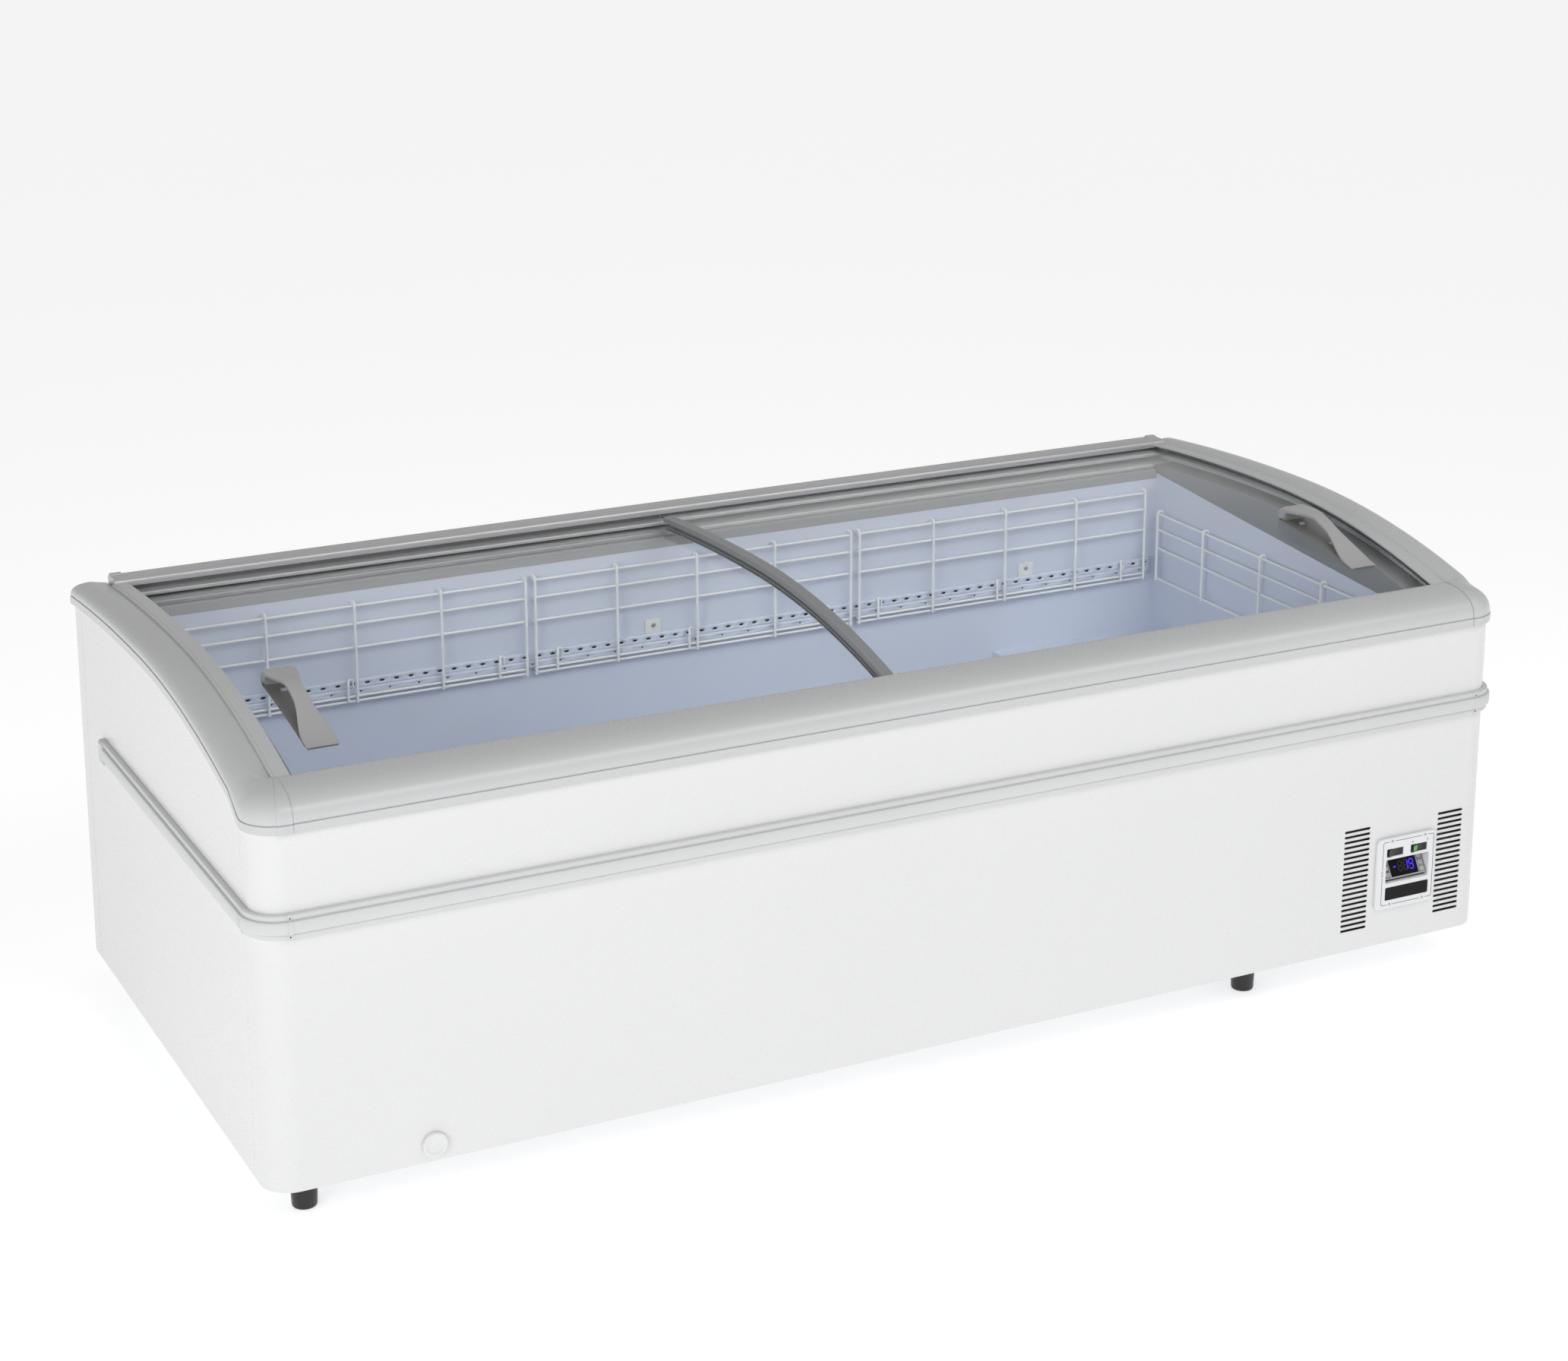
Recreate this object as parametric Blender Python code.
"""Chest freezer for a shop floor: an insulated tub with two curved glass lids that slide past each other.

Metres, +Z up, +X to the right along the length, the front faces -Y.
The origin is on the floor under the middle of the whole object.
"""
import math

import bmesh
import bpy
from mathutils import Matrix, Vector

# ---------------------------------------------------------------- driving dimensions
LENGTH = 2.080          # cabinet body, without the bumper strip
DEPTH = 0.930
BUMPER_PROUD = 0.012
FOOT_HEIGHT = 0.065
SHEET = 0.0012          # painted steel sheet
GAP = 0.0004            # clearance between touching pieces
CORNER_RADIUS = 0.045   # vertical front corners
CORNER_STEPS = 8        # facets in a quarter turn of those corners

X_END = LENGTH / 2
Y_FRONT = -DEPTH / 2 + BUMPER_PROUD / 2
Y_REAR = Y_FRONT + DEPTH
PANEL_BOTTOM = FOOT_HEIGHT

# the lids and the end frames follow one arch: two arcs that meet level at the crest
ARCH_TOP = 0.700
ARCH_Y = 0.060
ARCH_RADIUS_FRONT = 1.600
ARCH_RADIUS_REAR = 4.200

# top frame
RAIL_BOTTOM = 0.589     # lower edge of the front rail's lip
LIP_HEIGHT = 0.0125
LIP_PROUD = 0.006       # how far the frame stands outside the sheet metal
RAIL_INNER_Y = -0.385   # nose of the front rail
RAIL_NOSE_Z = 0.6415
RAIL_CREST_Z = 0.6430
FRAME_INNER_X = 0.985   # inner face of an end frame
FRAME_DROP = 0.026      # lip's lower edge below the arch
FRAME_RISE = 0.005      # crest above the arch
ROUND_POWER = 2.4       # superellipse of the frame's rounded shoulder
LIP_TURN_Y = -0.355     # where the lip leaves the arch and turns down to the front
PANEL_OVERLAP = 0.009   # sheet metal reaches this far up behind the lip
LIP_SLOPE = 0.0012      # step back from the lip's face to the shoulder above it
RAIL_HEEL_Y = -0.386    # the front rail reaches this far back under the lids
RAIL_HEEL_Z = 0.600
LID_TRACK_RIB_Y = -0.388
LID_TRACK_DEPTH = (0.0128, 0.0152)      # the rib between the two tracks, below the arch
REAR_PANEL_TOP = 0.6635

# rear rail: two slots that open forwards, each with a nose below it
RAIL_BASE = 0.6500
REAR_RAIL_SHOULDER = 0.6640
REAR_RAIL_TOP = 0.6945
REAR_RAIL_BEND = 0.008
SLOT_BACK_Y = 0.4470
UPPER_SLOT = (0.6712, 0.6860)
LOWER_SLOT = (0.6545, 0.6685)
UPPER_NOSE_Y = 0.4280
MIDDLE_NOSE_Y = 0.4160
LOWER_NOSE_Y = 0.4020

# well and insulation
WELL_X = 0.943
WELL_FRONT = -0.378
WELL_REAR = 0.390
WELL_FLOOR = 0.155
STEP_X = 0.600          # the floor steps up here, over the machine compartment
STEP_FLOOR = 0.350
LINER_SHEET = 0.0012
RIM_FRONT = 0.5870      # the tub's rim rises towards the rear
RIM_REAR = 0.6430
FOAM_BOTTOM = 0.0680
FOAM_TOP = 0.5880
BAY_X = 0.700           # machine compartment, at the right-hand end
BAY_TOP = 0.300

# lids
GLASS = 0.004
UPPER_DROP = 0.004      # top of the glass below the arch
LOWER_DROP = 0.020
PROFILE_COVER = 0.0025  # edge profile above and below the glass
PROFILE_WIDTH = 0.028
GLASS_GROOVE = 0.008    # the glass edge stands back this far from the profile's outer edge
LID_FRONT = -0.4065
LID_REAR = 0.4430
LID_OUTER_X = 0.9830
UPPER_INNER_X = -0.050  # the right lid's inner edge
LOWER_INNER_X = -0.034  # the left lid's inner edge, under it

# bumper strip
BUMPER_LOW = 0.4395
BUMPER_HIGH = 0.4755
BUMPER_LIP = 0.008      # height of each lip above and below the proud insert
BUMPER_LIP_PROUD = 0.008

# control panel
PANEL_X = 0.875
PANEL_Z = 0.189
PANEL_WIDTH = 0.1165
PANEL_HEIGHT = 0.122
PANEL_FACE_Y = Y_FRONT - 0.0060
ROCKER_Z = 0.2245
ROCKER_WINDOW = (0.0330, 0.0135)
ROCKER_XS = {"rocker_left": 0.8527, "rocker_right": 0.9005}
ROCKER_TILT = math.radians(8)
RECESS_X = 0.8787
RECESS_Z = 0.1924
RECESS_SIZE = (0.0864, 0.0410)
CASE_TILT = math.radians(-30)
BUTTON_TRAVEL = 0.001

# vents
VENT_ROWS = 20
VENT_PITCH = 0.0090
VENT_HEIGHT = 0.0040
VENT_BOTTOM_Z = 0.1022
VENT_COLUMNS = ((0.7530, 0.8040), (0.9395, 0.9900))

# drain
DRAIN_X = -0.801
DRAIN_Z = 0.0915
DRAIN_HEAD = 0.0185     # radius of the cap
DRAIN_STEM = 0.0115
DRAIN_STEM_LENGTH = 0.0320
DRAIN_BORE = 0.0125
DRAIN_BORE_LENGTH = 0.0560

# wire grids
GRID_WIRE = 0.005
GRID_TOP = 0.6120
GRID_LEVELS = (0.5820, 0.5430)
GRID_BOTTOM = 0.4520
GRID_SPAN = 0.612       # one rear panel
GRID_STANDOFF = 0.012

PAINT = {
    "white_paint": ((0.86, 0.87, 0.87), 0.35, 0.0),
    "grey_plastic": ((0.50, 0.50, 0.50), 0.45, 0.0),
    "dark_grey_plastic": ((0.27, 0.27, 0.27), 0.50, 0.0),
    "liner_white": ((0.74, 0.79, 0.88), 0.40, 0.0),
    "aluminium": ((0.62, 0.62, 0.62), 0.30, 1.0),
    "glass": ((0.80, 0.90, 0.92), 0.05, 0.0),
    "black_plastic": ((0.02, 0.02, 0.02), 0.45, 0.0),
    "black_rubber": ((0.015, 0.015, 0.015), 0.70, 0.0),
    "wire_white": ((0.85, 0.86, 0.88), 0.35, 0.0),
    "galvanised": ((0.55, 0.56, 0.57), 0.40, 1.0),
    "foam": ((0.80, 0.72, 0.45), 0.90, 0.0),
}


# ---------------------------------------------------------------- shape tools
def clear_scene():
    for obj in list(bpy.data.objects):
        bpy.data.objects.remove(obj, do_unlink=True)


def material_for(name, finish):
    colour, roughness, metallic = PAINT[finish]
    material = bpy.data.materials.new(name + "_" + finish)
    material.use_nodes = True
    shader = material.node_tree.nodes["Principled BSDF"]
    shader.inputs["Base Color"].default_value = (*colour, 1.0)
    shader.inputs["Roughness"].default_value = roughness
    shader.inputs["Metallic"].default_value = metallic
    return material


def finish_object(name, bm, finish):
    """Turn a bmesh into a named object with outward faces; without a finish it is a hidden cutter."""
    bmesh.ops.remove_doubles(bm, verts=bm.verts, dist=1e-6)
    bmesh.ops.dissolve_degenerate(bm, edges=bm.edges, dist=1e-6)
    bmesh.ops.recalc_face_normals(bm, faces=bm.faces)
    mesh = bpy.data.meshes.new(name)
    bm.to_mesh(mesh)
    bm.free()
    obj = bpy.data.objects.new(name, mesh)
    bpy.context.collection.objects.link(obj)
    if finish is None:
        obj.hide_render = True
        obj.display_type = "WIRE"
    else:
        mesh.materials.append(material_for(name, finish))
    return obj


def add_loft(bm, rings):
    """Skin a run of closed rings of 3-D points and cap both ends."""
    rows = [[bm.verts.new(point) for point in ring] for ring in rings]
    count = len(rows[0])
    for lower, upper in zip(rows, rows[1:]):
        for i in range(count):
            j = (i + 1) % count
            bm.faces.new((lower[i], lower[j], upper[j], upper[i]))
    bm.faces.new(rows[0][::-1])
    bm.faces.new(rows[-1])


def place(axis, along, point):
    """A point of a flat outline, set at a distance along the axis it is extruded on."""
    a, b = point
    return {"X": (along, a, b), "Y": (a, along, b), "Z": (a, b, along)}[axis]


def add_prism(bm, outline, axis, start, end):
    add_loft(bm, [[place(axis, at, point) for point in outline] for at in (start, end)])


def add_box(bm, low, high):
    outline = ((low[0], low[1]), (high[0], low[1]), (high[0], high[1]), (low[0], high[1]))
    add_prism(bm, outline, "Z", low[2], high[2])


def prism(name, outline, axis, start, end, finish=None):
    bm = bmesh.new()
    add_prism(bm, outline, axis, start, end)
    return finish_object(name, bm, finish)


def loft(name, rings, finish=None):
    bm = bmesh.new()
    add_loft(bm, rings)
    return finish_object(name, bm, finish)


def box(name, low, high, finish=None):
    bm = bmesh.new()
    add_box(bm, low, high)
    return finish_object(name, bm, finish)


def boxes(name, corners, finish=None):
    bm = bmesh.new()
    for low, high in corners:
        add_box(bm, low, high)
    return finish_object(name, bm, finish)


def turned(name, profile, axis, centre, finish=None, sides=24):
    """Turn a closed (radius, height) outline round an axis through a centre point."""
    bm = bmesh.new()
    rows = []
    for k in range(sides):
        angle = 2 * math.pi * k / sides
        row = []
        for radius, along in profile:
            u = radius * math.cos(angle)
            v = radius * math.sin(angle)
            local = place(axis, along, (u, v))
            row.append(bm.verts.new(Vector(centre) + Vector(local)))
        rows.append(row)
    count = len(profile)
    for k in range(sides):
        here = rows[k]
        there = rows[(k + 1) % sides]
        for i in range(count):
            j = (i + 1) % count
            ring = []
            for vertex in (here[i], here[j], there[j], there[i]):
                if all((vertex.co - other.co).length > 1e-7 for other in ring):
                    ring.append(vertex)
            if len(ring) > 2:
                bm.faces.new(ring)
    obj = finish_object(name, bm, finish)
    obj.data.shade_smooth()
    obj.data.set_sharp_from_angle(angle=math.radians(35))
    return obj


def boolean(obj, other, operation):
    modifier = obj.modifiers.new(operation.title(), "BOOLEAN")
    modifier.operation = operation
    modifier.solver = "EXACT"
    modifier.object = other
    other.hide_render = True
    other.display_type = "WIRE"


def cut(obj, cutter):
    boolean(obj, cutter, "DIFFERENCE")


def add(obj, other):
    boolean(obj, other, "UNION")


def arc(centre, radius, start, end, steps):
    """Points on a circular arc, angles in degrees."""
    points = []
    for i in range(steps + 1):
        angle = math.radians(start + (end - start) * i / steps)
        points.append((centre[0] + radius * math.cos(angle), centre[1] + radius * math.sin(angle)))
    return points


def rounded_rectangle(centre, size, radius, steps=3):
    x, y = centre
    w, h = size[0] / 2 - radius, size[1] / 2 - radius
    corners = ((x + w, y + h, 0), (x - w, y + h, 90), (x - w, y - h, 180), (x + w, y - h, 270))
    points = []
    for cx, cy, start in corners:
        points += arc((cx, cy), radius, start, start + 90, steps)
    return points


def steps_between(start, end, count):
    return [start + (end - start) * i / count for i in range(count + 1)]


# ---------------------------------------------------------------- the arch and the frame's lip
def arch(y):
    radius = ARCH_RADIUS_FRONT if y < ARCH_Y else ARCH_RADIUS_REAR
    return ARCH_TOP - (radius - math.sqrt(radius ** 2 - (y - ARCH_Y) ** 2))


def lip_bottom(y):
    """Lower edge of an end frame: it follows the arch, then turns down to the front rail's lip."""
    if y >= LIP_TURN_Y:
        return arch(y) - FRAME_DROP
    corner_start = Y_FRONT + CORNER_RADIUS - LIP_PROUD
    turn = min(1.0, (LIP_TURN_Y - y) / (LIP_TURN_Y - corner_start))
    high = arch(LIP_TURN_Y) - FRAME_DROP
    return high - (high - RAIL_BOTTOM) * (1 - math.cos(math.pi * turn)) / 2


def shoulder(t):
    """Rise of the rounded shoulder, 0 at the lip and 1 at the crest."""
    return (1 - (1 - t) ** ROUND_POWER) ** (1 / ROUND_POWER)


def side_name(sign):
    return "left" if sign < 0 else "right"


# ---------------------------------------------------------------- cabinet shells
def wrap_outline(face, inward, radius, reach):
    """Plan of a sheet that covers one long face and wraps round both vertical corners."""
    loops = []
    for offset in (0.0, SHEET):
        half = X_END - offset
        bend = radius - offset
        y_centre = face + inward * radius
        left = [(-half, face + inward * reach)]
        for i in range(CORNER_STEPS + 1):
            angle = math.pi / 2 * i / CORNER_STEPS
            x = -half + bend - bend * math.cos(angle)
            left.append((x, y_centre - inward * bend * math.sin(angle)))
        loops.append(left + [(-x, y) for x, y in reversed(left)])
    return loops[0] + loops[1][::-1]


FRONT_RETURN = 0.066    # the front sheet reaches this far round onto each side
REAR_RETURN = 0.040


def vent_cutter(name, columns, bottom, rows, pitch, height, y_low, y_high):
    corners = []
    for row in range(rows):
        z = bottom + pitch * row
        for x_low, x_high in columns:
            corners.append(((x_low, y_low, z - height / 2), (x_high, y_high, z + height / 2)))
    return boxes(name, corners)


def make_front_panel():
    outline = wrap_outline(Y_FRONT, 1, CORNER_RADIUS, FRONT_RETURN)
    panel = prism("front_panel", outline, "Z", PANEL_BOTTOM, RAIL_BOTTOM + PANEL_OVERLAP, "white_paint")
    y_low, y_high = Y_FRONT - 0.01, Y_FRONT + 0.01
    cut(panel, vent_cutter("front_vent_cutter", VENT_COLUMNS, VENT_BOTTOM_Z, VENT_ROWS, VENT_PITCH,
                           VENT_HEIGHT, y_low, y_high))
    cut(panel, box("control_opening_cutter", (PANEL_X - 0.050, y_low, PANEL_Z - 0.053),
                   (PANEL_X + 0.050, y_high, PANEL_Z + 0.053)))
    wide = DRAIN_BORE + 0.0005
    hole = [(0.0, -0.02), (wide, -0.02), (wide, 0.02), (0.0, 0.02)]
    cut(panel, turned("drain_hole_cutter", hole, "Y", (DRAIN_X, Y_FRONT, DRAIN_Z), sides=16))
    return panel


def make_side_panel(sign):
    y_low = Y_FRONT + FRONT_RETURN + GAP
    y_high = Y_REAR - REAR_RETURN - GAP
    top = [(y, lip_bottom(y) + PANEL_OVERLAP) for y in steps_between(y_high, y_low, 20)]
    outline = [(y_low, PANEL_BOTTOM), (y_high, PANEL_BOTTOM)] + top
    name = "side_panel_" + side_name(sign)
    return prism(name, outline, "X", sign * (X_END - SHEET), sign * X_END, "white_paint")


GRILLE_X = (0.7700, 0.9700)
GRILLE_Z = (0.1000, 0.2700)


def make_rear_panel():
    outline = wrap_outline(Y_REAR, -1, 0.005, REAR_RETURN)
    panel = prism("rear_panel", outline, "Z", PANEL_BOTTOM, REAR_PANEL_TOP, "white_paint")
    cut(panel, box("rear_opening_cutter", (GRILLE_X[0], Y_REAR - 0.01, GRILLE_Z[0]),
                   (GRILLE_X[1], Y_REAR + 0.01, GRILLE_Z[1])))
    notch_x = (FRAME_INNER_X - 0.001, X_END - SHEET - GAP)
    notches = []
    for sign in (-1, 1):
        low_x, high_x = sorted((sign * notch_x[0], sign * notch_x[1]))
        notches.append(((low_x, Y_REAR - 0.01, RAIL_BASE - GAP), (high_x, Y_REAR + 0.01, 1.0)))
    cut(panel, boxes("rear_notch_cutter", notches))
    return panel


def body_plan(inset, rear_inset):
    """Plan of what fills the cabinet: round at the front corners, square at the rear."""
    half = X_END - inset
    bend = CORNER_RADIUS - inset
    front = Y_FRONT + inset
    rear = Y_REAR - rear_inset
    right = arc((half - bend, front + bend), bend, 270, 360, CORNER_STEPS)
    left = arc((-half + bend, front + bend), bend, 180, 270, CORNER_STEPS)
    nip = 0.004
    back = [(half, rear - nip), (half - nip, rear), (-half + nip, rear), (-half, rear - nip)]
    return back + left + right


def make_base_tray():
    inset = SHEET + GAP
    return prism("base_tray", body_plan(inset, inset), "Z", PANEL_BOTTOM + 0.0005, FOAM_BOTTOM - 0.0008,
                 "galvanised")


def well_outline(grow, top):
    """Side view of the well: a deep part and a step over the machine compartment."""
    return [(-WELL_X - grow, top), (-WELL_X - grow, WELL_FLOOR - grow), (STEP_X + grow, WELL_FLOOR - grow),
            (STEP_X + grow, STEP_FLOOR - grow), (WELL_X + grow, STEP_FLOOR - grow), (WELL_X + grow, top)]


def make_foam():
    inset = SHEET + GAP
    foam = prism("foam_body", body_plan(inset, inset), "Z", FOAM_BOTTOM, FOAM_TOP, "foam")
    cut(foam, box("machine_bay_cutter", (BAY_X, -1, 0), (2, 1, BAY_TOP)))
    grow = LINER_SHEET + GAP
    cut(foam, prism("foam_well_cutter", well_outline(grow, 1.0), "Y", WELL_FRONT - grow, WELL_REAR + grow))
    end = DRAIN_BORE_LENGTH
    bore = [(0.0, -0.01), (DRAIN_BORE, -0.01), (DRAIN_BORE, end), (0.0, end)]
    cut(foam, turned("drain_bore_cutter", bore, "Y", (DRAIN_X, Y_FRONT, DRAIN_Z), sides=16))
    return foam


def rim_height(y):
    return RIM_FRONT + (RIM_REAR - RIM_FRONT) * (y - WELL_FRONT) / (WELL_REAR - WELL_FRONT)


def make_liner():
    liner = prism("inner_liner", well_outline(LINER_SHEET, RIM_REAR + 0.01), "Y",
                  WELL_FRONT - LINER_SHEET, WELL_REAR + LINER_SHEET, "liner_white")
    cut(liner, prism("liner_well_cutter", well_outline(0.0, 1.0), "Y", WELL_FRONT, WELL_REAR))
    low_y, high_y = WELL_FRONT - 0.05, WELL_REAR + 0.05
    wedge = [(low_y, rim_height(low_y)), (high_y, rim_height(high_y)), (high_y, 1.0), (low_y, 1.0)]
    cut(liner, prism("liner_rim_cutter", wedge, "X", -2, 2))
    return liner


# ---------------------------------------------------------------- top frame
def rail_top(y):
    """Height of the front rail's rounded back at a distance behind its face."""
    face = Y_FRONT - LIP_PROUD + LIP_SLOPE
    crest = RAIL_INNER_Y - 0.006
    base = RAIL_BOTTOM + LIP_HEIGHT + 0.001
    if y > crest:
        return RAIL_CREST_Z - (RAIL_CREST_Z - RAIL_NOSE_Z) * (y - crest) / (RAIL_INNER_Y - crest)
    return base + (RAIL_CREST_Z - base) * shoulder((y - face) / (crest - face))


def make_front_rail():
    face = Y_FRONT - LIP_PROUD
    lip_top = RAIL_BOTTOM + LIP_HEIGHT
    back = face + LIP_SLOPE
    crest = RAIL_INNER_Y - 0.006
    curve = [(y, rail_top(y)) for y in
             [back + (crest - back) * (1 - math.cos(math.pi / 2 * i / 8)) for i in range(9)]]
    channel = LID_FRONT - 0.004
    rib = LID_TRACK_RIB_Y
    rib_top, rib_bottom = LID_TRACK_DEPTH
    sheet_back = Y_FRONT + SHEET + 0.0010
    sheet_top = RAIL_BOTTOM + PANEL_OVERLAP + GAP
    outline = [(face, RAIL_BOTTOM), (face, lip_top)] + curve + [
        (RAIL_INNER_Y, RAIL_NOSE_Z),
        (RAIL_INNER_Y, arch(RAIL_INNER_Y) + 0.0020),
        (channel, arch(channel) + 0.0020),
        (channel, arch(channel) - rib_top),
        (rib, arch(rib) - rib_top),
        (rib, arch(rib) - rib_bottom),
        (channel, arch(channel) - rib_bottom),
        (channel, RAIL_HEEL_Z),
        (RAIL_HEEL_Y, RAIL_HEEL_Z),
        (RAIL_HEEL_Y, RAIL_BOTTOM + GAP),
        (sheet_back, RAIL_BOTTOM + GAP),
        (sheet_back, sheet_top),
        (Y_FRONT - GAP, sheet_top),
        (Y_FRONT - GAP, RAIL_BOTTOM)]
    half = FRAME_INNER_X + 0.0005
    return prism("front_rail", outline, "X", -half, half, "grey_plastic")


def frame_section(outer, inner, low, lip_inset, crest_z, inner_z, crest_at):
    """One section of an end frame, from its lip over the shoulder to its inner face and back underneath."""
    outer, inner = Vector(outer), Vector(inner)
    span = inner - outer
    width = span.length

    def at(inset, z):
        point = outer + span * (inset / width)
        return (point.x, point.y, z)

    lip_top = low + LIP_HEIGHT
    base = lip_top + 0.001
    ring = [at(0, low), at(0, lip_top)]
    crest = LIP_SLOPE + (width - LIP_SLOPE) * crest_at
    for i in range(8):
        t = 1 - math.cos(math.pi / 2 * i / 7)
        ring.append(at(LIP_SLOPE + (crest - LIP_SLOPE) * t, base + (crest_z - base) * shoulder(t)))
    ring.append(at(width, inner_z))
    ring.append(at(width, min(inner_z - 0.012, arch(inner.y) - END_PANEL_DROP + 0.0005)))
    ring.append(at(lip_inset, lip_top - 0.0005))
    ring.append(at(lip_inset, low))
    return ring


def make_end_frame(sign):
    """Arched end frame: up the side, round the front corner and onto the front rail's end."""
    lip_inset = LIP_PROUD - GAP
    outer_x = X_END + LIP_PROUD
    bend = CORNER_RADIUS + LIP_PROUD
    centre = Vector((outer_x - bend, Y_FRONT - LIP_PROUD + bend))
    inner_x = FRAME_INNER_X + 0.0010
    rings = []
    side_ys = steps_between(Y_REAR, RAIL_INNER_Y, 14) + [centre.y]
    for y in side_ys:
        inner_y = max(y, RAIL_INNER_Y)
        blend = 0.0 if y >= LIP_TURN_Y else (LIP_TURN_Y - y) / (LIP_TURN_Y - centre.y)
        crest = arch(y) + FRAME_RISE if y >= RAIL_INNER_Y else RAIL_CREST_Z
        nose = arch(y) if y >= RAIL_INNER_Y else RAIL_NOSE_Z
        rings.append(frame_section((outer_x, y), (inner_x, inner_y), lip_bottom(y), lip_inset,
                                   crest, nose, 0.55 + 0.35 * blend))
    for i in range(1, CORNER_STEPS + 1):
        angle = math.pi / 2 * i / CORNER_STEPS
        outer = centre + Vector((math.cos(angle), -math.sin(angle))) * bend
        rings.append(frame_section(outer, (inner_x, RAIL_INNER_Y), RAIL_BOTTOM, lip_inset,
                                   RAIL_CREST_Z, RAIL_NOSE_Z, 0.90))
    rings.append(frame_section((inner_x, Y_FRONT - LIP_PROUD), (inner_x, RAIL_INNER_Y), RAIL_BOTTOM,
                               lip_inset, RAIL_CREST_Z, RAIL_NOSE_Z, 0.92))
    rings = [[(sign * x, y, z) for x, y, z in ring] for ring in rings]
    return loft("end_frame_" + side_name(sign), rings, "grey_plastic")


def make_rear_rail():
    """Aluminium rail with two slots that open forwards, one above the other."""
    behind_sheet = Y_REAR - SHEET - 0.0006
    bend = REAR_RAIL_BEND
    outline = [(behind_sheet, RAIL_BASE), (behind_sheet, REAR_RAIL_SHOULDER), (Y_REAR, REAR_RAIL_SHOULDER)]
    outline += arc((Y_REAR - bend, REAR_RAIL_TOP - bend), bend, 0, 90, 5)
    outline += [(UPPER_NOSE_Y + bend, REAR_RAIL_TOP), (UPPER_NOSE_Y, REAR_RAIL_TOP - 0.003),
                (UPPER_NOSE_Y, UPPER_SLOT[1]), (SLOT_BACK_Y, UPPER_SLOT[1]), (SLOT_BACK_Y, UPPER_SLOT[0]),
                (MIDDLE_NOSE_Y, UPPER_SLOT[0]), (MIDDLE_NOSE_Y, LOWER_SLOT[1]), (SLOT_BACK_Y, LOWER_SLOT[1]),
                (SLOT_BACK_Y, LOWER_SLOT[0]), (LOWER_NOSE_Y, LOWER_SLOT[0]), (LOWER_NOSE_Y, RAIL_BASE)]
    half = FRAME_INNER_X - 0.0005
    return prism("rear_rail", outline, "X", -half, half, "aluminium")


def make_rear_trim():
    """Grey stepped profile between the aluminium rail and the rim of the tub."""
    back = Y_REAR - SHEET - 2 * GAP
    behind_liner = WELL_REAR + LINER_SHEET + GAP
    top = RAIL_BASE - 0.0005
    nose = WELL_REAR - 0.0010
    ledge = RIM_REAR + 0.0035
    outline = [(behind_liner, FOAM_TOP + GAP), (back, FOAM_TOP + GAP), (back, top), (nose + 0.009, top),
               (nose + 0.007, top - 0.002), (nose + 0.007, ledge), (nose, ledge), (nose, RIM_REAR + 2 * GAP),
               (behind_liner, RIM_REAR + 2 * GAP)]
    return prism("rear_trim", outline, "X", -WELL_X, WELL_X, "dark_grey_plastic")


END_PANEL_DROP = 0.0300     # top of the end wall's core below the arch


def make_end_panel(sign):
    """Plastic wall core between the tub's rim and the lids at one end."""
    front = RAIL_INNER_Y - 0.0005
    rail_face = LOWER_NOSE_Y - 0.0005
    back = Y_REAR - 0.0060
    base = FOAM_TOP + GAP
    under_rail = RAIL_BASE - 0.0005
    top = [(y, arch(y) - END_PANEL_DROP) for y in steps_between(rail_face, front, 14)]
    outline = [(front, base), (back, base), (back, under_rail), (rail_face, under_rail)] + top
    inner = WELL_X + LINER_SHEET + GAP
    outer = X_END - SHEET - GAP
    return prism("inner_end_panel_" + side_name(sign), outline, "X", sign * inner, sign * outer,
                 "dark_grey_plastic")


# ---------------------------------------------------------------- lids
def lid_stations():
    return steps_between(LID_FRONT, LID_REAR, 18)


HANDLE_X = 0.888


def make_lid(prefix, drop, left_x, right_x, handle_x):
    """Curved glass with a grooved profile along each side edge and a handle screwed on top."""
    groove = GLASS_GROOVE
    glass_left, glass_right = left_x + groove, right_x - groove
    rings = []
    for y in lid_stations():
        top = arch(y) - drop
        rings.append([(glass_left, y, top - GLASS), (glass_right, y, top - GLASS), (glass_right, y, top),
                      (glass_left, y, top)])
    loft(prefix + "_glass", rings, "glass")
    for side, edge, inward in (("left", left_x, 1), ("right", right_x, -1)):
        rings = []
        for y in lid_stations():
            top = arch(y) - drop
            high = top + PROFILE_COVER
            low = top - GLASS - PROFILE_COVER
            floor_x = edge + inward * (groove - GAP)
            lip_x = edge + inward * PROFILE_WIDTH
            section = [(edge, low), (lip_x, low), (lip_x, top - GLASS - GAP), (floor_x, top - GLASS - GAP),
                       (floor_x, top + GAP), (lip_x, top + GAP), (lip_x, high), (edge, high)]
            rings.append([(x, y, z) for x, z in section])
        loft(prefix + "_" + side + "_profile", rings, "grey_plastic")
    make_handle(prefix + "_handle", drop, handle_x)


HANDLE_FRONT = -0.300
HANDLE_REAR = -0.095
HANDLE_HEIGHT = 0.036
HANDLE_GRIP = 0.008     # thickness of the bridge
HANDLE_FOOT = 0.034     # length of each foot
HANDLE_HALF = 0.0245    # half the width at the feet
HANDLE_WAIST = 0.0110   # how much narrower each side is at the grip
HANDLE_FULLNESS = 0.6   # power of the sine that gives the bridge its flat top
HANDLE_EDGE = 0.004     # bevel along both long edges


def handle_rise(along):
    return math.sin(math.pi * along) ** HANDLE_FULLNESS


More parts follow.
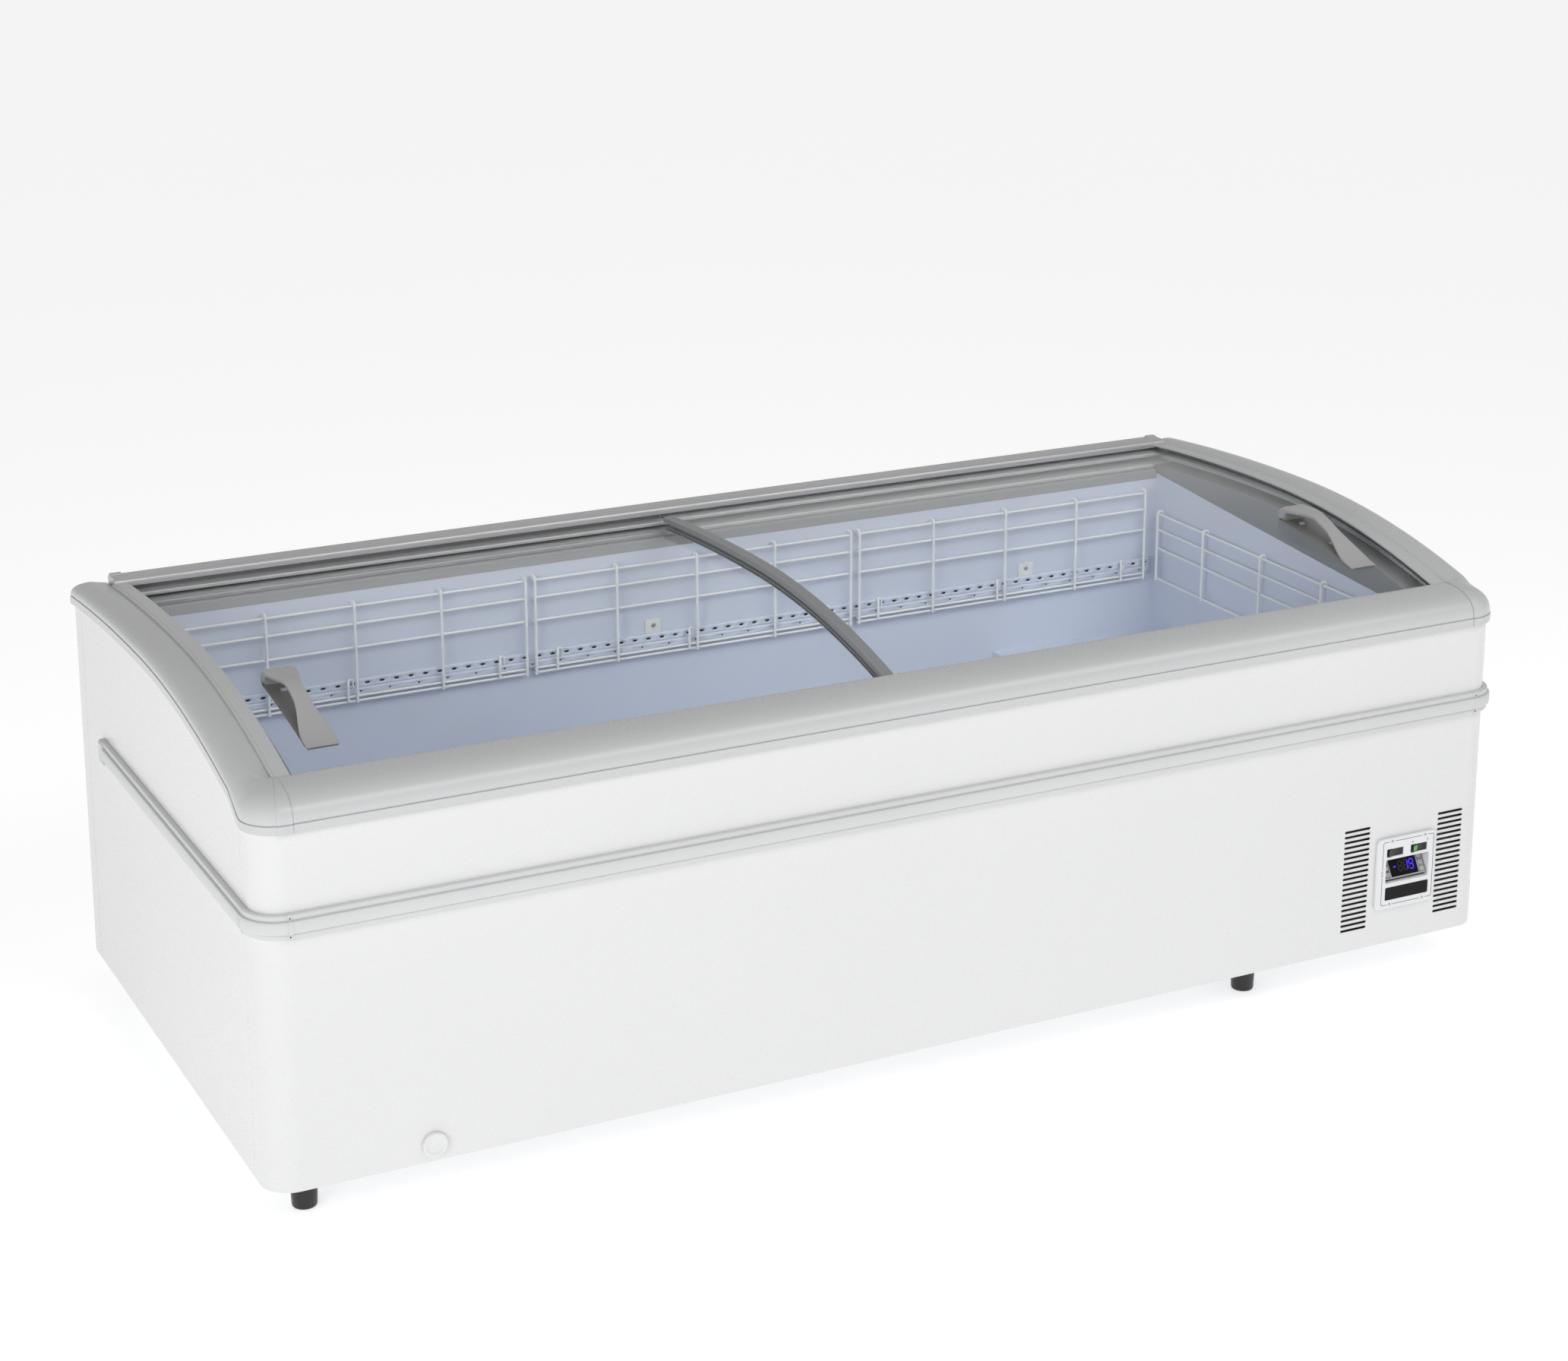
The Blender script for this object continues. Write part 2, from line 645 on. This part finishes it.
def make_handle(name, drop, x):
    """A bridge that stands on two wide feet and narrows at the grip, open underneath for the fingers."""
    rings = []
    count = 16
    for i in range(count + 1):
        y = HANDLE_FRONT + (HANDLE_REAR - HANDLE_FRONT) * i / count
        along = (y - HANDLE_FRONT) / (HANDLE_REAR - HANDLE_FRONT)
        glass_top = arch(y) - drop + GAP
        top = glass_top + HANDLE_GRIP + (HANDLE_HEIGHT - HANDLE_GRIP) * handle_rise(along)
        half = HANDLE_HALF - HANDLE_WAIST * math.sin(math.pi * along) ** 2
        edge = half - HANDLE_EDGE
        low = top - HANDLE_EDGE / 2
        rings.append([(x - half, y, glass_top), (x + half, y, glass_top), (x + half, y, low),
                      (x + edge, y, top), (x - edge, y, top), (x - half, y, low)])
    handle = loft(name, rings, "grey_plastic")
    gap_rings = []
    low, high = HANDLE_FRONT + HANDLE_FOOT, HANDLE_REAR - HANDLE_FOOT
    for i in range(count + 1):
        y = low + (high - low) * i / count
        along = (y - HANDLE_FRONT) / (HANDLE_REAR - HANDLE_FRONT)
        top = arch(y) - drop + GAP + (HANDLE_HEIGHT - HANDLE_GRIP) * handle_rise(along) - 0.002
        bottom = arch(y) - drop - 0.01
        near, far = x - 0.05, x + 0.05
        gap_rings.append([(near, y, bottom), (far, y, bottom), (far, y, top), (near, y, top)])
    cut(handle, loft(name + "_gap_cutter", gap_rings))
    return handle


# ---------------------------------------------------------------- bumper strip
def bumper_section():
    """Section of the bumper strip as (distance from the sheet, height): two lips and a proud insert."""
    low, high = BUMPER_LOW, BUMPER_HIGH
    lip = BUMPER_LIP
    return [(GAP, low), (BUMPER_LIP_PROUD - 0.002, low), (BUMPER_LIP_PROUD, low + 0.002),
            (BUMPER_LIP_PROUD, low + lip), (BUMPER_PROUD, low + lip + 0.001),
            (BUMPER_PROUD, high - lip - 0.001), (BUMPER_LIP_PROUD, high - lip),
            (BUMPER_LIP_PROUD, high - 0.002), (BUMPER_LIP_PROUD - 0.002, high), (GAP, high)]


BUMPER_FRONT_X = 0.9950
BUMPER_SIDE_Y = Y_FRONT + CORNER_RADIUS + 0.003
BUMPER_CAP_Y = (0.3000, 0.3350)


def make_bumpers():
    section = bumper_section()
    outline = [(Y_FRONT - out, z) for out, z in section]
    reach = BUMPER_FRONT_X - 0.0003
    prism("bumper_front", outline, "X", -reach, reach, "grey_plastic")
    full = [(GAP, BUMPER_LOW), (BUMPER_PROUD - 0.002, BUMPER_LOW), (BUMPER_PROUD, BUMPER_LOW + 0.003),
            (BUMPER_PROUD, BUMPER_HIGH - 0.003), (BUMPER_PROUD - 0.002, BUMPER_HIGH), (GAP, BUMPER_HIGH)]
    for sign in (-1, 1):
        side = side_name(sign)
        rings = []
        for y in (BUMPER_SIDE_Y + 0.0003, BUMPER_CAP_Y[0] - 0.0003):
            rings.append([(sign * (X_END + out), y, z) for out, z in section])
        loft("bumper_" + side, rings, "grey_plastic")
        rings = [[(sign * (X_END + out), y, z) for out, z in full] for y in BUMPER_CAP_Y]
        loft("bumper_end_cap_" + side, rings, "grey_plastic")
        corner = Vector((X_END - CORNER_RADIUS, Y_FRONT + CORNER_RADIUS))
        rings = [[(sign * (X_END + out), BUMPER_SIDE_Y, z) for out, z in section]]
        for i in range(CORNER_STEPS + 1):
            angle = math.pi / 2 * i / CORNER_STEPS
            direction = Vector((math.cos(angle), -math.sin(angle)))
            ring = []
            for out, z in section:
                point = corner + direction * (CORNER_RADIUS + out)
                ring.append((sign * point.x, point.y, z))
            rings.append(ring)
        rings.append([(sign * BUMPER_FRONT_X, Y_FRONT - out, z) for out, z in section])
        loft("bumper_corner_" + side, rings, "grey_plastic")


# ---------------------------------------------------------------- control panel
def make_bezel():
    outline = rounded_rectangle((PANEL_X, PANEL_Z), (PANEL_WIDTH, PANEL_HEIGHT), 0.008)
    bezel = prism("control_bezel", outline, "Y", PANEL_FACE_Y, Y_FRONT - GAP, "white_paint")
    y_low, y_high = PANEL_FACE_Y - 0.01, Y_FRONT + 0.01
    w, h = ROCKER_WINDOW[0] / 2, ROCKER_WINDOW[1] / 2
    windows = [((x - w, y_low, ROCKER_Z - h), (x + w, y_high, ROCKER_Z + h)) for x in ROCKER_XS.values()]
    w, h = RECESS_SIZE[0] / 2, RECESS_SIZE[1] / 2
    windows.append(((RECESS_X - w, y_low, RECESS_Z - h), (RECESS_X + w, y_high, RECESS_Z + h)))
    cut(bezel, boxes("bezel_window_cutter", windows))
    return bezel


def make_rocker(name, x):
    """Rocker switch that tips about an upright pin; it rests with its right end pressed in."""
    half, height, bulge = 0.0150, 0.0118, 0.0022
    front = -0.0050
    outline = [(-half, 0.0060), (half, 0.0060), (half, front - bulge), (half * 0.35, front),
               (0.0, front + 0.0003), (-half * 0.35, front), (-half, front - bulge)]
    rocker = prism(name, outline, "Z", -height / 2, height / 2, "black_plastic")
    rocker.location = (x, Y_FRONT + 0.0010, ROCKER_Z)
    rocker.rotation_euler = (0, 0, ROCKER_TILT)
    return rocker


CASE_SIZE = (0.0820, 0.0200, 0.0360)
BUTTON_SIZE = (0.0080, 0.0075)
BUTTON_PROUD = 0.0012
BUTTON_DEEP = 0.0014
BUTTON_PITCH = 0.0108
BUTTON_OFFSET = 0.0345
WINDOW_SIZE = (0.0540, 0.0310)


def make_controller():
    """Temperature controller: its face tips back so that it is read from above."""
    frame = bpy.data.objects.new("controller_frame", None)
    bpy.context.collection.objects.link(frame)
    frame.location = (RECESS_X, Y_FRONT + 0.0070, RECESS_Z)
    frame.rotation_euler = (CASE_TILT, 0, 0)
    w, d, h = CASE_SIZE
    case = box("controller_case", (-w / 2, 0, -h / 2), (w / 2, d, h / 2), "dark_grey_plastic")
    case.parent = frame
    bw, bh = BUTTON_SIZE[0] / 2, BUTTON_SIZE[1] / 2
    pocket = BUTTON_DEEP + BUTTON_TRAVEL + GAP
    number = 0
    for column in (-1, 1):
        for row in (1, 0, -1):
            number += 1
            x, z = column * BUTTON_OFFSET, row * BUTTON_PITCH
            clear = 0.0005
            cutter = box("button_pocket_cutter_%d" % number, (x - bw - clear, -0.005, z - bh - clear),
                         (x + bw + clear, pocket, z + bh + clear))
            cutter.parent = frame
            cut(case, cutter)
            outline = rounded_rectangle((0, 0), BUTTON_SIZE, 0.0015, 2)
            button = prism("button_%d" % number, outline, "Y", -BUTTON_PROUD, BUTTON_DEEP, "dark_grey_plastic")
            button.parent = frame
            button.location = (x, 0, z)
    ww, wh = WINDOW_SIZE[0] / 2, WINDOW_SIZE[1] / 2
    window = box("display_window", (-ww, -0.0012, -wh), (ww, -GAP, wh), "black_plastic")
    window.parent = frame


# ---------------------------------------------------------------- feet and drain
FOOT_XS = (-0.967, 0.622)
FOOT_YS = (Y_FRONT + 0.080, Y_REAR - 0.080)


def make_foot(name, x, y):
    narrow, wide, chamfer = 0.0180, 0.0200, 0.0010
    profile = [(0.0, 0.0), (narrow - chamfer, 0.0), (narrow, chamfer), (wide, FOOT_HEIGHT - 0.009),
               (wide, FOOT_HEIGHT), (0.0, FOOT_HEIGHT)]
    return turned(name, profile, "Z", (x, y, 0), "black_rubber")


def make_drain_plug():
    """Round cap over the drain's outlet, with a stem that pushes into the bore."""
    head, stem, end = DRAIN_HEAD, DRAIN_STEM, DRAIN_STEM_LENGTH
    bevel = 0.0015
    front = -0.0060
    profile = [(0.0, front), (head - bevel, front), (head, front + bevel), (head, -GAP), (stem, -GAP),
               (stem, end - bevel), (stem - bevel, end), (0.0, end)]
    return turned("drain_plug", profile, "Y", (DRAIN_X, Y_FRONT, DRAIN_Z), "white_paint")


# ---------------------------------------------------------------- wire grids
def grid(name, start, end, origin, direction, levels, columns, finish="wire_white"):
    """Welded grid as one lattice: a frame plate with its windows cut out."""
    half = GRID_WIRE / 2
    along = "X" if direction == "X" else "Y"
    low, high = min(levels), max(levels)
    if along == "X":
        plate = box(name, (start, origin - half, low - half), (end, origin + half, high + half), finish)
    else:
        plate = box(name, (origin - half, start, low - half), (origin + half, end, high + half), finish)
    uprights = steps_between(start + half, end - half, columns)
    corners = []
    for left, right in zip(uprights, uprights[1:]):
        for bottom, top in zip(levels, levels[1:]):
            a, b = left + half, right - half
            if along == "X":
                corners.append(((a, origin - 0.05, bottom + half), (b, origin + 0.05, top - half)))
            else:
                corners.append(((origin - 0.05, a, bottom + half), (origin + 0.05, b, top - half)))
    cut(plate, boxes(name + "_cutter", corners))
    return plate


FRONT_GRID_LEVELS = (GRID_BOTTOM, 0.510, 0.565)
END_GRID_LEVELS = (GRID_BOTTOM, 0.510, 0.545, 0.575)


def make_grids():
    levels = (GRID_BOTTOM,) + GRID_LEVELS[::-1] + (GRID_TOP,)
    rear_y = WELL_REAR - GRID_STANDOFF
    for i, place_name in enumerate(("left", "middle", "right")):
        start = -1.5 * GRID_SPAN + i * GRID_SPAN
        grid("wire_grid_rear_" + place_name, start + 0.004, start + GRID_SPAN - 0.004, rear_y, "X", levels, 4)
    grid("wire_grid_front", -1.5 * GRID_SPAN, 1.5 * GRID_SPAN, WELL_FRONT + GRID_STANDOFF, "X",
         FRONT_GRID_LEVELS, 10)
    for sign in (-1, 1):
        grid("wire_grid_" + side_name(sign), WELL_FRONT + 0.030, WELL_REAR - 0.030,
             sign * (WELL_X - GRID_STANDOFF), "Y", END_GRID_LEVELS, 5)
    make_floor_grid()


def make_floor_grid():
    """Raised rack on the deep floor, so that air and melt water pass under the goods."""
    low, high = WELL_FLOOR + 0.020, WELL_FLOOR + 0.026
    clear = 0.010
    x_low, x_high = -WELL_X + clear, STEP_X - clear
    y_low, y_high = WELL_FRONT + clear, WELL_REAR - clear
    rack = box("floor_rack", (x_low, y_low, low), (x_high, y_high, high), "wire_white")
    corners = []
    bars = steps_between(x_low, x_high, 8)
    rows = steps_between(y_low, y_high, 4)
    half = 0.003
    for left, right in zip(bars, bars[1:]):
        for near, far in zip(rows, rows[1:]):
            corners.append(((left + half, near + half, low - 0.01), (right - half, far - half, high + 0.01)))
    cut(rack, boxes("floor_rack_cutter", corners))
    for i, x in enumerate((x_low + clear, (x_low + x_high) / 2, x_high - clear)):
        runner = box("floor_rack_runner_%d" % (i + 1), (x - 0.004, y_low + 0.002, WELL_FLOOR + GAP),
                     (x + 0.004, y_high - 0.002, low + 0.002))
        add(rack, runner)
    return rack


STRIP_Z = (0.4600, 0.4860)


def make_support_strip():
    """Perforated angle along the rear wall that the grids hook into."""
    back = WELL_REAR - GAP
    face, nose = back - 0.0050, back - 0.0085
    low, high = STRIP_Z
    outline = [(back, low), (back, high), (face, high), (face, low + SHEET), (nose, low + SHEET), (nose, low)]
    return prism("support_strip", outline, "X", -WELL_X + 0.012, WELL_X - 0.012, "liner_white")


# ---------------------------------------------------------------- machine compartment
FAN_X = 0.870
FAN_Z = 0.184
FAN_Y = -0.300
FAN_RADIUS = 0.092
FAN_CENTRE = (FAN_X, FAN_Y, FAN_Z)
SHAFT_RADIUS = 0.0030
SHAFT_END = 0.040
SHAFT_CLEARANCE = 0.00008
FAN_SIDES = 20
MACHINE_BASE = FOAM_BOTTOM + 0.0002
COMPRESSOR_PLATE = ((0.735, -0.030), (1.010, 0.170))
COMPRESSOR_AXIS = (0.870, 0.070)
COMPRESSOR_SHELL = ((0.0, 0.004), (0.060, 0.004), (0.078, 0.030), (0.084, 0.060), (0.084, 0.120),
                    (0.074, 0.150), (0.045, 0.168), (0.0, 0.174))
CONDENSER_X = (0.745, 0.995)
CONDENSER_Y = (-0.395, -0.350)
CONDENSER_HEIGHT = 0.215
CONDENSER_WEB = 0.006
CONDENSER_FINS = 22
GLAND_CENTRE = (0.7900, Y_REAR, 0.1120)
GLAND_RADIUS = 0.0085
GLAND_BORE = 0.0055


def make_compressor():
    low, high = COMPRESSOR_PLATE
    base = MACHINE_BASE
    plate = box("compressor", (*low, base), (*high, base + 0.006), "black_plastic")
    add(plate, turned("compressor_shell", COMPRESSOR_SHELL, "Z", (*COMPRESSOR_AXIS, base)))
    return plate


def make_condenser():
    """Finned block as one comb: a web at the back with the fins standing forwards."""
    x_low, x_high = CONDENSER_X
    tip, back = CONDENSER_Y
    web = back - CONDENSER_WEB
    pitch = (x_high - x_low) / CONDENSER_FINS
    outline = [(x_low, back), (x_high, back)]
    for i in range(CONDENSER_FINS, 0, -1):
        right = x_low + pitch * i
        left = right - pitch * 0.55
        outline += [(right, tip), (left, tip), (left, web)]
        if i > 1:
            outline.append((right - pitch, web))
    return prism("condenser", outline, "Z", MACHINE_BASE, MACHINE_BASE + CONDENSER_HEIGHT, "galvanised")


def make_fan_motor():
    """Fan housing ring, with a motor held in its middle by a cross of arms."""
    inner, outer, half = FAN_RADIUS + 0.006, FAN_RADIUS + 0.014, 0.016
    ring = [(inner, -half), (outer, -half), (outer, half), (inner, half)]
    motor = turned("fan_motor", ring, "Y", FAN_CENTRE, "black_plastic")
    can = [(0.0, 0.020), (0.026, 0.020), (0.026, 0.060), (0.0, 0.060)]
    add(motor, turned("fan_motor_can", can, "Y", FAN_CENTRE, sides=12))
    reach, width = (inner + outer) / 2, 0.005
    for i, (along_x, along_z) in enumerate(((reach, width), (width, reach))):
        arm = box("fan_motor_arm_%d" % i, (FAN_X - along_x, FAN_Y + 0.012, FAN_Z - along_z),
                  (FAN_X + along_x, FAN_Y + 0.026, FAN_Z + along_z))
        add(motor, arm)
    wide, end = SHAFT_RADIUS + SHAFT_CLEARANCE, SHAFT_END + 0.005
    bore = [(0.0, 0.0), (wide, 0.0), (wide, end), (0.0, end)]
    cut(motor, turned("fan_bearing_cutter", bore, "Y", FAN_CENTRE, sides=FAN_SIDES))
    return motor


def make_fan_blades():
    """Five twisted blades on a hub, with the shaft that turns in the motor."""
    hub, thick = 0.024, 0.008
    hub_profile = [(0.0, -0.012), (hub - 0.004, -0.012), (hub, -thick), (hub, thick), (SHAFT_RADIUS, thick),
                   (SHAFT_RADIUS, SHAFT_END), (0.0, SHAFT_END)]
    fan = turned("fan_blades", hub_profile, "Y", (0, 0, 0), "black_plastic", sides=FAN_SIDES)
    fan.location = FAN_CENTRE
    half = 0.0008
    root = hub - 0.006
    for k in range(5):
        rings = []
        for radius, chord in ((root, 0.030), (0.050, 0.046), (FAN_RADIUS, 0.052)):
            pitch = math.radians(32 - 160 * (radius - root))
            ring = []
            for u, v in ((-0.5, -half), (0.5, -half), (0.5, half), (-0.5, half)):
                across = u * chord * math.cos(pitch) - v * math.sin(pitch)
                depth = u * chord * math.sin(pitch) * 0.55 + v * math.cos(pitch)
                ring.append((across, depth, radius))
            rings.append(ring)
        blade = loft("fan_blade_cutter_%d" % k, rings)
        turn = Matrix.Rotation(2 * math.pi * k / 5, 4, "Y")
        blade.matrix_world = Matrix.Translation(FAN_CENTRE) @ turn
        add(fan, blade)
    return fan


def make_grille():
    """Slotted service cover behind the rear opening, with a hole for the cord's gland."""
    back = Y_REAR - SHEET - GAP
    front = back - 0.0020
    edge = 0.012
    grille = box("rear_grille", (GRILLE_X[0] - edge, front, GRILLE_Z[0] - edge),
                 (GRILLE_X[1] + edge, back, GRILLE_Z[1] + edge), "galvanised")
    columns = ((0.780, 0.860), (0.880, 0.960))
    cut(grille, vent_cutter("rear_vent_cutter", columns, 0.140, 9, 0.0145, 0.0055, front - 0.01, back + 0.01))
    wide = GLAND_RADIUS + 0.0005
    hole = [(0.0, -0.03), (wide, -0.03), (wide, 0.03), (0.0, 0.03)]
    cut(grille, turned("gland_hole_cutter", hole, "Y", GLAND_CENTRE, sides=20))
    return grille


def make_gland():
    low, high = -0.020, -0.0008
    ring = [(GLAND_BORE, low), (GLAND_RADIUS, low), (GLAND_RADIUS, high), (GLAND_BORE, high)]
    return turned("cord_gland", ring, "Y", GLAND_CENTRE, "black_plastic", sides=20)


# ---------------------------------------------------------------- assembly
def build():
    clear_scene()
    make_front_panel()
    make_rear_panel()
    make_base_tray()
    make_foam()
    make_liner()
    make_front_rail()
    make_rear_rail()
    make_rear_trim()
    for sign in (-1, 1):
        make_side_panel(sign)
        make_end_frame(sign)
        make_end_panel(sign)
    make_lid("left_lid", LOWER_DROP, -LID_OUTER_X, LOWER_INNER_X, -HANDLE_X)
    make_lid("right_lid", UPPER_DROP, UPPER_INNER_X, LID_OUTER_X, HANDLE_X)
    make_bumpers()
    make_bezel()
    for name, x in ROCKER_XS.items():
        make_rocker(name, x)
    make_controller()
    for i, (x, y) in enumerate([(x, y) for y in FOOT_YS for x in FOOT_XS]):
        make_foot("foot_%d" % (i + 1), x, y)
    make_drain_plug()
    make_grids()
    make_support_strip()
    make_compressor()
    make_condenser()
    make_fan_motor()
    make_fan_blades()
    make_grille()
    make_gland()


build()
